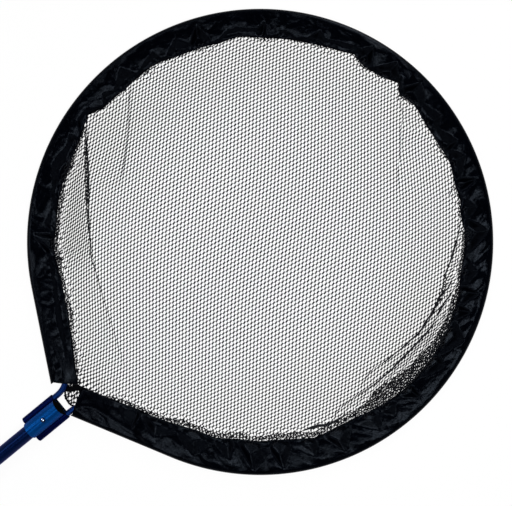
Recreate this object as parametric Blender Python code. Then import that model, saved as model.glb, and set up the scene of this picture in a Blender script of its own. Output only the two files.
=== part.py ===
"""Round koi net on a telescopic handle, lying flat with its handle pushed in. Metres, +Z up.

X runs along the handle towards the hoop. The origin is the middle of the bracket's flat underside,
on the plane that the net, the lock nut and the grip rest on too.
"""

import math

import bmesh
import bpy
from mathutils import Vector

# Clearances
FIT = 0.0003  # gap between two pieces that touch
MERGE = 0.000001  # points this close are one

# Hoop rod
HOOP_RADIUS = 0.300  # centre of the hoop to the middle of the rod
ROD_DIAMETER = 0.008
BEND_RADIUS = 0.030  # bends that turn the rod into the bracket
BEND_REACH = 0.0025  # how far the bends stand out past the hoop's circle
BARE_STRAIGHT = 0.006  # straight rod between a bend and the bracket
TANG_LENGTH = 0.042  # rod inside the bracket

# Net collar, net and hem
COLLAR_CLOTH = 0.0012  # cloth round the rod
COLLAR_WIDTH = 0.040
COLLAR_END_WIDTH = 0.033
COLLAR_EDGE = 0.0024  # thickness at the sewn inner edge
COLLAR_STRAIGHT_ANGLE = math.radians(28)  # off the handle, where the outer edge leaves the circle
GATHER_DEPTH = 0.003  # waves of the inner edge
LONG_GATHERS = 11  # waves of the inner edge round the hoop
SHORT_GATHERS = 17
GATHER_LIFT = 0.0012  # waves of the cloth's upper side
PUCKERS = 23  # waves of the upper side round the hoop
NET_THICKNESS = 0.0016
NET_LIFT = 0.0004
NET_PITCH = 0.036
NET_STRAND = 0.005
NET_TURN = math.radians(50.6)  # direction of the columns of holes, from X
TAB_TO_BRACKET = 0.0085  # bracket to the rounded end of the net's tab
TAB_SIDE_GAP = 0.003
HEM_DIAMETER = 0.002
HEM_SWEEP = math.radians(80)  # hem round the tab's end, to either side of the handle

# Bracket
BRACKET_LENGTH = 0.049
SOCKET_WALL = 0.0017
LOBE_WALL = 0.0012
LOBE_LIFT = 0.001  # underside of a lobe above the flat foot
BORE_WEB = 0.0012  # metal between the socket and a rod
BRACKET_EDGE = 0.0005

# Front tube and its plug
FRONT_TUBE_DIAMETER = 0.019
FRONT_TUBE_LENGTH = 0.660
TUBE_WALL = 0.0012
PLUG_FLANGE = 0.002
PLUG_SPIGOT = 0.009

# Snap button and its spring
BUTTON_DIAMETER = 0.006
BUTTON_FROM_FRONT = 0.0225  # bracket's front end to the button
BUTTON_PROUD = 0.0015
BUTTON_DOME = 0.0013
BUTTON_FLANGE = 0.001  # step and thickness of the flange inside the tube
SPRING_WIDTH = 0.005
SPRING_STRIP = 0.0008
SPRING_LENGTH = 0.022
SPRING_BEND = 0.0025
SPRING_PAD = 0.0035

# Sliding handle
GUIDE_STEP = 0.0005  # guide bush past the front tube's outside
GUIDE_LENGTH = 0.012
GUIDE_SPIGOT = 0.015
NUT_FROM_BRACKET = 0.0735  # bare front tube between bracket and nut
NUT_LENGTH = 0.038
NUT_WALL = 0.0017
NUT_LIP = 0.003
NUT_RIB = 0.0006
NUT_CHAMFER = 0.0012
COLLET_LENGTH = 0.016
COLLET_SLIT = 0.0015
REAR_SPARE = 0.0438  # rear tube between the guide bush and the cap, with the handle pushed in
GRIP_LENGTH = 0.140
GRIP_WALL = 0.0017
GRIP_GROOVE = 0.0007
GRIP_GROOVES = 6
GRIP_TO_END = 0.003
CAP_FLANGE = 0.006
CAP_RIM = 0.001  # cap past the rear tube's outside
CAP_SPIGOT = 0.014

# Smoothness
TURN_SIDES = 36
BORE_SIDES = 24
HOOP_STEPS = 29  # half of the hoop's circle
BEND_STEPS = 9
BARE_BEND_STEPS = 5  # steps of a bend left bare by the collar
ARC_STEPS = 12
TAB_STEPS = 10
DOME_STEPS = 4

# Radii that follow from the sizes above
ROD_RADIUS = ROD_DIAMETER / 2
ROD_BORE = ROD_RADIUS + FIT
LOBE_RADIUS = ROD_BORE + LOBE_WALL
SKIN_RADIUS = ROD_BORE + COLLAR_CLOTH
TUBE_RADIUS = FRONT_TUBE_DIAMETER / 2
TUBE_BORE = TUBE_RADIUS - TUBE_WALL
SOCKET_BORE = TUBE_RADIUS + FIT
SOCKET_RADIUS = SOCKET_BORE + SOCKET_WALL
GUIDE_RADIUS = TUBE_RADIUS + GUIDE_STEP
REAR_BORE = GUIDE_RADIUS + FIT
REAR_RADIUS = REAR_BORE + TUBE_WALL
NUT_BORE = REAR_RADIUS + FIT
NUT_RADIUS = NUT_BORE + NUT_WALL
GRIP_BORE = REAR_RADIUS + FIT
GRIP_RADIUS = GRIP_BORE + GRIP_WALL
BUTTON_RADIUS = BUTTON_DIAMETER / 2
BUTTON_HOLE = BUTTON_RADIUS + FIT
FLANGE_RADIUS = BUTTON_RADIUS + BUTTON_FLANGE

# Heights above the resting plane
HANDLE_HEIGHT = max(NUT_RADIUS, GRIP_RADIUS, SOCKET_RADIUS)
ROD_HEIGHT = max(LOBE_RADIUS, SKIN_RADIUS) + LOBE_LIFT
BORE_SPACING = SOCKET_BORE + ROD_BORE + BORE_WEB
ROD_OFFSET = math.sqrt(BORE_SPACING**2 - (HANDLE_HEIGHT - ROD_HEIGHT) ** 2)

# Places along the handle
BRACKET_FRONT = BRACKET_LENGTH / 2
BRACKET_BACK = -BRACKET_LENGTH / 2
HOOP_X = BRACKET_FRONT + BARE_STRAIGHT + BEND_RADIUS + BEND_REACH + HOOP_RADIUS
BUTTON_X = BRACKET_FRONT - BUTTON_FROM_FRONT
TUBE_FRONT = BRACKET_FRONT - PLUG_FLANGE - FIT
TUBE_BACK = TUBE_FRONT - FRONT_TUBE_LENGTH
NUT_FRONT = BRACKET_BACK - NUT_FROM_BRACKET
NUT_BACK = NUT_FRONT - NUT_LENGTH
COLLET_FRONT = NUT_FRONT - NUT_LIP - FIT
COLLET_BACK = COLLET_FRONT - COLLET_LENGTH
REAR_FRONT = COLLET_BACK - FIT
GUIDE_BACK = TUBE_BACK - FIT - GUIDE_LENGTH
REAR_TUBE_LENGTH = REAR_FRONT - GUIDE_BACK + REAR_SPARE + CAP_SPIGOT - FIT
REAR_BACK = REAR_FRONT - REAR_TUBE_LENGTH

# The rod leaves the circle where one straight line touches both the circle and a bend. Its plan is
# worked out in u, the distance from the hoop's centre towards the bracket, and v, the distance sideways.
BEND_START = HOOP_X - BRACKET_FRONT - BARE_STRAIGHT
BEND_CENTRE_V = ROD_OFFSET + BEND_RADIUS
TANGENT_ANGLE = math.atan2(BEND_CENTRE_V, BEND_START) + math.acos(
    (HOOP_RADIUS + BEND_RADIUS) / math.hypot(BEND_START, BEND_CENTRE_V)
)
BEND_TURN = math.pi / 2 - TANGENT_ANGLE


def finish(name, colour, roughness, metallic):
    """A plain surface finish."""
    material = bpy.data.materials.new(name)
    material.use_nodes = True
    shader = material.node_tree.nodes["Principled BSDF"]
    shader.inputs["Base Color"].default_value = (*colour, 1)
    shader.inputs["Roughness"].default_value = roughness
    shader.inputs["Metallic"].default_value = metallic
    return material


def pivot(name, place, parent=None):
    """An empty that carries pieces."""
    empty = bpy.data.objects.new(name, None)
    empty.location = place
    empty.parent = parent
    bpy.context.collection.objects.link(empty)
    return empty


def add(name, data, parent, material):
    """Links a mesh or a curve as a named piece."""
    piece = bpy.data.objects.new(name, data)
    piece.parent = parent
    data.materials.append(material)
    bpy.context.collection.objects.link(piece)
    return piece


def to_mesh(name, shape, smooth_angle=math.radians(35)):
    """A closed, outward mesh from a bmesh, smooth apart from its sharp edges."""
    bmesh.ops.recalc_face_normals(shape, faces=shape.faces)
    mesh = bpy.data.meshes.new(name)
    shape.to_mesh(mesh)
    shape.free()
    mesh.shade_smooth()
    mesh.set_sharp_from_angle(angle=smooth_angle)
    return mesh


def turned(profile, upright=False, sides=TURN_SIDES):
    """A bmesh of (along, radius) points turned about X, or about Z if upright."""
    shape = bmesh.new()
    corners = []
    for along, radius in profile:
        corners.append(shape.verts.new((radius, 0, along) if upright else (along, 0, radius)))
    pairs = list(zip(corners, corners[1:]))
    if profile[0][1] > 0 or profile[-1][1] > 0:
        pairs.append((corners[-1], corners[0]))
    edges = [shape.edges.new(pair) for pair in pairs]
    axis = (0, 0, 1) if upright else (1, 0, 0)
    bmesh.ops.spin(shape, geom=corners + edges, cent=(0, 0, 0), axis=axis, angle=math.tau, steps=sides)
    bmesh.ops.remove_doubles(shape, verts=shape.verts, dist=MERGE)
    bmesh.ops.dissolve_degenerate(shape, edges=shape.edges, dist=MERGE)
    return shape


def pipe(front, back, outer, inner):
    """The profile of a plain ring or tube."""
    return [(front, inner), (front, outer), (back, outer), (back, inner)]


def prism(outline, low, high, place):
    """A bmesh of a flat outline carried from low to high. place turns (a, b, depth) into a point."""
    shape = bmesh.new()
    face = shape.faces.new([shape.verts.new(place(a, b, low)) for a, b in outline])
    made = bmesh.ops.extrude_face_region(shape, geom=[face])["geom"]
    shift = place(0, 0, high) - place(0, 0, low)
    bmesh.ops.translate(shape, vec=shift, verts=[item for item in made if isinstance(item, bmesh.types.BMVert)])
    return shape


def cut(piece, name, shape, parent):
    """Takes a hidden cutter out of a piece."""
    cutter = bpy.data.objects.new(name, to_mesh(name, shape))
    cutter.parent = parent
    cutter.hide_render = True
    cutter.display_type = "WIRE"
    bpy.context.collection.objects.link(cutter)
    boolean = piece.modifiers.new(name, "BOOLEAN")
    boolean.operation = "DIFFERENCE"
    boolean.solver = "EXACT"
    boolean.object = cutter


def arc(centre, radius, start, end, steps=ARC_STEPS):
    """Points of an arc, from start to end in radians."""
    points = []
    for step in range(steps + 1):
        angle = start + (end - start) * step / steps
        points.append((centre[0] + radius * math.cos(angle), centre[1] + radius * math.sin(angle)))
    return points


def half_hoop():
    """Plan points (u, v) of one side of the rod, from its end in the bracket to the far side of the hoop."""
    points = [(BEND_START + BARE_STRAIGHT + TANG_LENGTH, ROD_OFFSET)]
    for step in range(BEND_STEPS + 1):
        turn = BEND_TURN * step / BEND_STEPS
        u = BEND_START - BEND_RADIUS * math.sin(turn)
        points.append((u, ROD_OFFSET + BEND_RADIUS * (1 - math.cos(turn))))
    for step in range(HOOP_STEPS + 1):
        angle = TANGENT_ANGLE + (math.pi - TANGENT_ANGLE) * step / HOOP_STEPS
        points.append((HOOP_RADIUS * math.cos(angle), HOOP_RADIUS * math.sin(angle)))
    return points


def both_sides(half):
    """The plan points of one side, then those of the other, which share their last point."""
    return half + [(u, -v) for u, v in reversed(half[:-1])]


def plan(u, v, z):
    """The point at u towards the bracket from the hoop's centre, v sideways and z up."""
    return Vector((HOOP_X - u, v, z))


def add_hoop(parent, material):
    """The bent rod, as one tube with closed ends."""
    path = both_sides(half_hoop())
    curve = bpy.data.curves.new("hoop", "CURVE")
    curve.dimensions = "3D"
    curve.bevel_depth = ROD_RADIUS
    curve.bevel_resolution = 3
    curve.use_fill_caps = True
    spline = curve.splines.new("POLY")
    spline.points.add(len(path) - 1)
    for point, (u, v) in zip(spline.points, path):
        point.co = (*plan(u, v, ROD_HEIGHT), 1)
    return add("hoop", curve, parent, material)


def off_handle(angle):
    """How far a direction lies from the handle, either way round."""
    return abs(math.remainder(angle, math.tau))


def collar_outside(angle):
    """Distance of the collar's outer edge from the hoop's centre: a circle, then straight to the throat."""
    straight = max(0, COLLAR_STRAIGHT_ANGLE - off_handle(angle))
    return (HOOP_RADIUS + SKIN_RADIUS) / math.cos(straight)


def throat_share(angle):
    """0 round the circle, rising to 1 on the handle's line."""
    return max(0, 1 - off_handle(angle) / COLLAR_STRAIGHT_ANGLE)


def collar_inside(angle):
    """Distance of the gathered inner edge from the hoop's centre."""
    near = throat_share(angle)
    width = COLLAR_WIDTH + (COLLAR_END_WIDTH - COLLAR_WIDTH) * near
    wave = 0.6 * math.sin(LONG_GATHERS * angle) + 0.4 * math.sin(SHORT_GATHERS * angle + 2)
    return collar_outside(angle) - width + GATHER_DEPTH * wave * (1 - near)


def collar_section(angle, reach, slant):
    """(distance, z) points of the collar's outside and of its bore, where the rod lies at reach.

    slant widens the round parts where the rod crosses the section at an angle.
    """
    skin = SKIN_RADIUS * slant
    outside = collar_outside(angle)
    brow = max(outside - reach, skin)
    inside = collar_inside(angle)
    halfway = (inside + reach - skin) / 2
    lift = GATHER_LIFT * math.sin(PUCKERS * angle)
    slope = math.sqrt(0.5)
    outer = [
        (inside, 0),
        (reach - skin, ROD_HEIGHT - SKIN_RADIUS),
        (reach, ROD_HEIGHT - SKIN_RADIUS),
        (reach + slope * brow, ROD_HEIGHT - slope * SKIN_RADIUS),
        (reach + brow, ROD_HEIGHT),
        (reach + slope * brow, ROD_HEIGHT + slope * SKIN_RADIUS),
        (reach, ROD_HEIGHT + SKIN_RADIUS),
        (reach - skin, ROD_HEIGHT + slope * SKIN_RADIUS),
        (halfway, (ROD_HEIGHT + COLLAR_EDGE) / 2 + lift),
        (inside, COLLAR_EDGE),
    ]
    clear = ROD_BORE / math.cos(math.pi / 8)
    bore = []
    for corner in range(8):
        turn = math.tau * corner / 8
        bore.append((reach + clear * slant * math.cos(turn), ROD_HEIGHT + clear * math.sin(turn)))
    return outer, bore


def collar_stations():
    """(angle, reach, slant) of each section of the collar, from one end round to the other."""
    half = half_hoop()
    stations = []
    for index in range(1 + BARE_BEND_STEPS, len(half)):
        u, v = half[index]
        after = half[min(index + 1, len(half) - 1)]
        before = half[index - 1]
        along = Vector((after[0] - before[0], after[1] - before[1])).normalized()
        outward = Vector((u, v)).normalized()
        on_circle = index > BEND_STEPS + 1
        slant = 1 if on_circle else 1 / abs(along.cross(outward))
        stations.append((math.atan2(v, u), math.hypot(u, v), slant))
    return stations + [(math.tau - angle, reach, slant) for angle, reach, slant in reversed(stations[:-1])]


def add_collar(parent, material):
    """The cloth sleeve, swept round the hoop with a bore for the rod and open at both ends."""
    shape = bmesh.new()
    outer_rings = []
    bore_rings = []
    for angle, reach, slant in collar_stations():
        for rings, loop in zip((outer_rings, bore_rings), collar_section(angle, reach, slant)):
            ring = [shape.verts.new(plan(r * math.cos(angle), r * math.sin(angle), z)) for r, z in loop]
            rings.append(ring)
    for rings in (outer_rings, bore_rings):
        for ring, following in zip(rings, rings[1:]):
            for i in range(len(ring)):
                shape.faces.new((ring[i - 1], ring[i], following[i], following[i - 1]))
    for end in (0, -1):
        edges = []
        for ring in (outer_rings[end], bore_rings[end]):
            edges += [shape.edges.get((ring[i - 1], ring[i])) for i in range(len(ring))]
        bmesh.ops.triangle_fill(shape, use_beauty=True, edges=edges)
    return add("net_collar", to_mesh("net_collar", shape), parent, material)


THROAT_ANGLE = collar_stations()[0][0]  # the collar's ends, off the handle
TAB_BASE = (collar_inside(THROAT_ANGLE) - FIT) * math.cos(THROAT_ANGLE)
TAB_HALF = TAB_BASE * math.tan(THROAT_ANGLE) - TAB_SIDE_GAP
TAB_LENGTH = HOOP_X - BRACKET_FRONT - TAB_TO_BRACKET - TAB_BASE


def tab_edge(outward, most):
    """Plan points round the tab's end, this far outside it, to most radians either side of the handle."""
    points = []
    for step in range(TAB_STEPS + 1):
        turn = most * (2 * step / TAB_STEPS - 1)
        points.append((TAB_BASE + (TAB_LENGTH + outward) * math.cos(turn), (TAB_HALF + outward) * math.sin(turn)))
    return points


def in_net(u, v, margin):
    """True where a point lies inside the net by at least this margin."""
    if u > TAB_BASE:
        return math.hypot((u - TAB_BASE) / (TAB_LENGTH - margin), v / (TAB_HALF - margin)) < 1
    angle = max(off_handle(math.atan2(v, u)), THROAT_ANGLE)
    return math.hypot(u, v) < collar_inside(math.copysign(angle, v)) - FIT - margin


def net_holes():
    """Plan points of the six-sided holes, in staggered columns."""
    hole = (NET_PITCH - NET_STRAND) / 2 / math.cos(math.pi / 6)
    rows = math.ceil(2 * HOOP_RADIUS / NET_PITCH)
    up = (math.cos(math.pi - NET_TURN), math.sin(math.pi - NET_TURN))
    side = (-up[1], up[0])
    holes = []
    for column in range(-rows, rows + 1):
        for row in range(-rows, rows + 1):
            high = NET_PITCH * (row + 0.5 * (column % 2))
            across = NET_PITCH * column * math.cos(math.pi / 6)
            corners = []
            for corner in range(6):
                turn = math.tau * corner / 6
                a = across + hole * math.cos(turn)
                b = high + hole * math.sin(turn)
                corners.append((a * side[0] + b * up[0], a * side[1] + b * up[1]))
            if all(in_net(u, v, NET_STRAND) for u, v in corners):
                holes.append(corners)
    return holes


def add_net(parent, material):
    """The net as one flat plate with its holes, just inside the collar's edge, and the tab in the throat."""
    rim = []
    for angle, _, _ in collar_stations():
        distance = collar_inside(angle) - FIT
        rim.append((distance * math.cos(angle), distance * math.sin(angle)))
    rim += tab_edge(0, math.pi / 2)
    shape = bmesh.new()
    for outline in [rim] + net_holes():
        corners = [shape.verts.new(plan(u, v, NET_LIFT)) for u, v in outline]
        for i in range(len(corners)):
            shape.edges.new((corners[i - 1], corners[i]))
    bmesh.ops.triangle_fill(shape, use_beauty=True, edges=shape.edges[:], normal=(0, 0, 1))
    made = bmesh.ops.extrude_face_region(shape, geom=shape.faces[:])["geom"]
    raised = [item for item in made if isinstance(item, bmesh.types.BMVert)]
    bmesh.ops.translate(shape, vec=(0, 0, NET_THICKNESS), verts=raised)
    return add("net_mesh", to_mesh("net_mesh", shape), parent, material)


def add_hem(parent, material):
    """The sewn edge round the tab."""
    curve = bpy.data.curves.new("throat_hem", "CURVE")
    curve.dimensions = "3D"
    curve.bevel_depth = HEM_DIAMETER / 2
    curve.bevel_resolution = 2
    curve.use_fill_caps = True
    path = tab_edge(FIT + HEM_DIAMETER / 2, HEM_SWEEP)
    spline = curve.splines.new("POLY")
    spline.points.add(len(path) - 1)
    for point, (u, v) in zip(spline.points, path):
        point.co = (*plan(u, v, NET_LIFT + NET_THICKNESS / 2), 1)
    return add("throat_hem", curve, parent, material)


def bracket_outline():
    """(y, z) points of the bracket's end: a flat foot, a lobe round each rod and the socket over them."""
    lobe = (ROD_OFFSET, ROD_HEIGHT)
    socket = (0, HANDLE_HEIGHT)
    nearer = (BORE_SPACING**2 + SOCKET_RADIUS**2 - LOBE_RADIUS**2) / (2 * BORE_SPACING)
    towards = math.atan2(lobe[1] - socket[1], lobe[0] - socket[0])
    socket_start = towards + math.acos(nearer / SOCKET_RADIUS)
    meet = (SOCKET_RADIUS * math.cos(socket_start), HANDLE_HEIGHT + SOCKET_RADIUS * math.sin(socket_start))
    lobe_end = math.atan2(meet[1] - lobe[1], meet[0] - lobe[0])
    side = [(ROD_OFFSET, 0)] + arc(lobe, LOBE_RADIUS, -math.pi / 2, lobe_end)[:-1]
    crown = arc(socket, SOCKET_RADIUS, socket_start, math.pi - socket_start, 2 * ARC_STEPS)
    return side + crown + [(-y, z) for y, z in reversed(side)]


def add_bracket(parent, material):
    """The head that holds both ends of the rod and takes the handle."""
    shape = prism(bracket_outline(), BRACKET_BACK, BRACKET_FRONT, lambda y, z, x: Vector((x, y, z)))
    ends = [edge for edge in shape.edges if edge.verts[0].co.x == edge.verts[1].co.x]
    bmesh.ops.bevel(shape, geom=ends, offset=BRACKET_EDGE, segments=1, affect="EDGES")
    bracket = add("bracket", to_mesh("bracket", shape), parent, material)
    past = BRACKET_LENGTH
    socket = turned([(past, 0), (past, SOCKET_BORE), (-past, SOCKET_BORE), (-past, 0)])
    bmesh.ops.translate(socket, vec=(0, 0, HANDLE_HEIGHT), verts=socket.verts)
    cut(bracket, "socket_bore", socket, parent)
    for side, sign in (("left", 1), ("right", -1)):
        bore = turned([(past, 0), (past, ROD_BORE), (-past, ROD_BORE), (-past, 0)], sides=BORE_SIDES)
        bmesh.ops.translate(bore, vec=(0, sign * ROD_OFFSET, ROD_HEIGHT), verts=bore.verts)
        cut(bracket, "rod_bore_" + side, bore, parent)
    cut(bracket, "bracket_button_hole", button_hole(), parent)
    return bracket


def button_hole():
    """The cutter for the button's hole, from the handle's axis upwards."""
    top = HANDLE_HEIGHT + SOCKET_RADIUS + BUTTON_PROUD
    profile = [(top, 0), (top, BUTTON_HOLE), (HANDLE_HEIGHT, BUTTON_HOLE), (HANDLE_HEIGHT, 0)]
    hole = turned(profile, upright=True, sides=BORE_SIDES)
    bmesh.ops.translate(hole, vec=(BUTTON_X, 0, 0), verts=hole.verts)
    return hole


def add_front_tube(parent, base, material):
    """The tube that goes into the bracket, with the button's hole near its front."""
    shape = turned(pipe(TUBE_FRONT, TUBE_BACK, TUBE_RADIUS, TUBE_BORE))
    tube = add("front_tube", to_mesh("front_tube", shape), parent, material)
    cut(tube, "tube_button_hole", button_hole(), base)
    return tube


def add_front_plug(parent, material):
    """The plug that closes the front tube, flush with the bracket."""
    spigot = TUBE_BORE - FIT
    flange_back = BRACKET_FRONT - PLUG_FLANGE
    profile = [
        (BRACKET_FRONT, 0),
        (BRACKET_FRONT, TUBE_RADIUS - BRACKET_EDGE),
        (BRACKET_FRONT - BRACKET_EDGE, TUBE_RADIUS),
        (flange_back, TUBE_RADIUS),
        (flange_back, spigot),
        (flange_back - PLUG_SPIGOT, spigot),
        (flange_back - PLUG_SPIGOT, 0),
    ]
    return add("front_plug", to_mesh("front_plug", turned(profile)), parent, material)


BUTTON_TOP = HANDLE_HEIGHT + SOCKET_RADIUS + BUTTON_PROUD
FLANGE_TOP = HANDLE_HEIGHT + math.sqrt(TUBE_BORE**2 - FLANGE_RADIUS**2) - FIT
FLANGE_BOTTOM = FLANGE_TOP - BUTTON_FLANGE


def add_button(parent, material):
    """The domed pin that locks the handle in the bracket, with a flange inside the tube."""
    shoulder = BUTTON_TOP - BUTTON_DOME
    dome = []
    for step in range(DOME_STEPS + 1):
        turn = math.pi / 2 * step / DOME_STEPS
        dome.append((shoulder + BUTTON_DOME * math.cos(turn), BUTTON_RADIUS * math.sin(turn)))
    shaft = [(FLANGE_TOP, BUTTON_RADIUS), (FLANGE_TOP, FLANGE_RADIUS), (FLANGE_BOTTOM, FLANGE_RADIUS)]
    shape = turned(dome + shaft + [(FLANGE_BOTTOM, 0)], upright=True, sides=BORE_SIDES)
    return add("snap_button", to_mesh("snap_button", shape), parent, material)


def add_spring(parent, material):
    """The bent strip in the tube: one leg lies on the tube's floor and the other holds the button up."""
    half = SPRING_STRIP / 2
    floor = HANDLE_HEIGHT - math.sqrt(TUBE_BORE**2 - (SPRING_WIDTH / 2) ** 2) + FIT + half
    top = FLANGE_BOTTOM - FIT - half
    bend = (-SPRING_LENGTH, floor + SPRING_BEND)
    path = [(SPRING_PAD, top), (-SPRING_PAD, top)]
    path += arc(bend, SPRING_BEND, math.pi / 2, 3 * math.pi / 2)
    path += [(SPRING_PAD, floor)]
    upper = []
    lower = []
    for index, (x, z) in enumerate(path):
        before = path[max(index - 1, 0)]
        after = path[min(index + 1, len(path) - 1)]
        run = Vector((after[0] - before[0], after[1] - before[1])).normalized()
        upper.append((x - half * run.y, z + half * run.x))
        lower.append((x + half * run.y, z - half * run.x))
    edge = SPRING_WIDTH / 2
    shape = prism(upper + lower[::-1], -edge, edge, lambda x, z, y: Vector((x, y, z)))
    return add("button_spring", to_mesh("button_spring", shape), parent, material)


def add_guide_bush(parent, material):
    """The guide on the hidden end of the front tube, too wide to pass the collet."""
    face = TUBE_BACK - FIT
    spigot = TUBE_BORE - FIT
    profile = [
        (face + GUIDE_SPIGOT, 0),
        (face + GUIDE_SPIGOT, spigot),
        (face, spigot),
        (face, GUIDE_RADIUS),
        (GUIDE_BACK, GUIDE_RADIUS),
        (GUIDE_BACK, 0),
    ]
    return add("guide_bush", to_mesh("guide_bush", turned(profile)), parent, material)


def add_collet(parent, material):
    """The split ring in the nut that grips the front tube."""
    shape = turned(pipe(COLLET_FRONT, COLLET_BACK, NUT_BORE - FIT, SOCKET_BORE))
    collet = add("collet", to_mesh("collet", shape), parent, material)
    edge = COLLET_SLIT / 2
    slit = [(-edge, 0), (edge, 0), (edge, NUT_RADIUS), (-edge, NUT_RADIUS)]
    past = COLLET_LENGTH
    blade = prism(slit, COLLET_BACK - past, COLLET_FRONT + past, lambda y, z, x: Vector((x, y, z)))
    cut(collet, "collet_slit", blade, parent)
    return collet


def add_lock_nut(parent, material):
    """The ribbed nut on the rear tube's end, with a lip in front of the collet."""
    lip = NUT_FRONT - NUT_LIP
    profile = [
        (NUT_FRONT, SOCKET_BORE),
        (NUT_FRONT, NUT_RADIUS - NUT_CHAMFER),
        (NUT_FRONT - NUT_CHAMFER, NUT_RADIUS),
        (NUT_BACK + NUT_CHAMFER, NUT_RADIUS),
        (NUT_BACK, NUT_RADIUS - NUT_CHAMFER),
        (NUT_BACK, NUT_BORE),
        (lip, NUT_BORE),
        (lip, SOCKET_BORE),
    ]
    shape = turned(profile)
    for corner in shape.verts:
        out = Vector((0, corner.co.y, corner.co.z))
        place = round(math.atan2(out.y, -out.z) / math.tau * TURN_SIDES)
        if out.length > NUT_RADIUS - NUT_CHAMFER / 2 and place % 2:
            corner.co -= out.normalized() * NUT_RIB
    return add("lock_nut", to_mesh("lock_nut", shape), parent, material)


def add_rear_tube(parent, material):
    """The wider tube that the front tube slides into."""
    shape = turned(pipe(REAR_FRONT, REAR_BACK, REAR_RADIUS, REAR_BORE))
    return add("rear_tube", to_mesh("rear_tube", shape), parent, material)


def add_grip(parent, material):
    """The soft sleeve at the end of the handle, with shallow grooves round it."""
    back = REAR_BACK + GRIP_TO_END
    front = back + GRIP_LENGTH
    chamfer = GRIP_WALL / 2
    outside = [(front, GRIP_BORE), (front, GRIP_RADIUS - chamfer), (front - chamfer, GRIP_RADIUS)]
    spacing = GRIP_LENGTH / (GRIP_GROOVES + 1)
    for groove in range(GRIP_GROOVES):
        middle = front - spacing * (groove + 1)
        outside.append((middle + 2 * GRIP_GROOVE, GRIP_RADIUS))
        outside.append((middle, GRIP_RADIUS - GRIP_GROOVE))
        outside.append((middle - 2 * GRIP_GROOVE, GRIP_RADIUS))
    outside += [(back + chamfer, GRIP_RADIUS), (back, GRIP_RADIUS - chamfer), (back, GRIP_BORE)]
    return add("hand_grip", to_mesh("hand_grip", turned(outside)), parent, material)


def add_end_cap(parent, material):
    """The domed cap pushed into the rear tube."""
    face = REAR_BACK - FIT
    rim = REAR_RADIUS + CAP_RIM
    spigot = REAR_BORE - FIT
    profile = [(face + CAP_SPIGOT, 0), (face + CAP_SPIGOT, spigot), (face, spigot), (face, rim)]
    for step in range(DOME_STEPS + 1):
        turn = math.pi / 2 * step / DOME_STEPS
        along = face - CAP_FLANGE / 2 - CAP_FLANGE / 2 * math.sin(turn)
        profile.append((along, rim * math.cos(turn) if step < DOME_STEPS else 0))
    return add("end_cap", to_mesh("end_cap", turned(profile)), parent, material)


def build():
    """Clears the scene and makes every piece."""
    for old in list(bpy.data.objects):
        bpy.data.objects.remove(old)
    blue = finish("blue_coat", (0.004, 0.055, 0.27), 0.32, 0.55)
    cloth = finish("black_nylon", (0.012, 0.012, 0.014), 0.55, 0)
    yarn = finish("black_yarn", (0.018, 0.018, 0.02), 0.7, 0)
    plastic = finish("black_plastic", (0.015, 0.015, 0.016), 0.45, 0)
    foam = finish("black_foam", (0.02, 0.02, 0.02), 0.85, 0)
    bright = finish("bright_steel", (0.75, 0.76, 0.78), 0.22, 1)
    bush = finish("white_plastic", (0.75, 0.75, 0.72), 0.5, 0)

    net = pivot("koi_net", (0, 0, 0))
    handle = pivot("handle_axis", (0, 0, HANDLE_HEIGHT), net)
    button = pivot("button_axis", (BUTTON_X, 0, 0), net)
    slide = pivot("rear_slide", (0, 0, 0), handle)
    nut = pivot("nut_axis", (0, 0, 0), slide)

    add_hoop(net, blue)
    add_collar(net, cloth)
    add_net(net, yarn)
    add_hem(net, yarn)
    add_bracket(net, blue)
    add_front_tube(handle, net, blue)
    add_front_plug(handle, plastic)
    add_button(button, bright)
    add_spring(button, bright)
    add_guide_bush(handle, bush)
    add_rear_tube(slide, blue)
    add_collet(slide, bush)
    add_grip(slide, foam)
    add_end_cap(slide, plastic)
    add_lock_nut(nut, plastic)


build()
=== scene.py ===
import math

import bpy
import numpy as np
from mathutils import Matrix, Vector, noise
from mathutils.bvhtree import BVHTree


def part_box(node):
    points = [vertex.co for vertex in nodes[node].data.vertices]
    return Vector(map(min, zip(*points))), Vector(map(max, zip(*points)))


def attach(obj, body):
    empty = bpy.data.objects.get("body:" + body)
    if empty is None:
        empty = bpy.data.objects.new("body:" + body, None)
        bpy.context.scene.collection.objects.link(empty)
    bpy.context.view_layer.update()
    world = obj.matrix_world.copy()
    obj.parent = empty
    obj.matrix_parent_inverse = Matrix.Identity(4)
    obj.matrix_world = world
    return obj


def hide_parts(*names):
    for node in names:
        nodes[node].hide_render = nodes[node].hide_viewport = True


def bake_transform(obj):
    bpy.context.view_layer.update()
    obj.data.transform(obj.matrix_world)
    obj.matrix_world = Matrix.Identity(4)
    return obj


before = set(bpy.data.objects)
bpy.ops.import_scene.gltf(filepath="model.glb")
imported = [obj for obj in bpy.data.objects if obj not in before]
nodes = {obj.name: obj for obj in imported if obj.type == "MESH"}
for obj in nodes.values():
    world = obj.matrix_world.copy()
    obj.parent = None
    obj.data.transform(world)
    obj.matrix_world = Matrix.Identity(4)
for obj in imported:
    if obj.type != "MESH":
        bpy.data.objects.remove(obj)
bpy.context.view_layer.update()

scene = bpy.context.scene
scene.view_settings.view_transform = "Standard"
hoopLow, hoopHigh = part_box("hoop")
hoopX = hoopHigh.x - (hoopHigh.y - hoopLow.y) / 2  # centre of the hoop on the handle's line
viewTurn = math.radians(39.4)  # handle's slope in the picture


def lie(a, b):  # a to the right and b up as the net is looked at, from the hoop's centre
    x = hoopX + a * math.cos(viewTurn) + b * math.sin(viewTurn)
    y = -a * math.sin(viewTurn) + b * math.cos(viewTurn)
    return x, y


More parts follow.
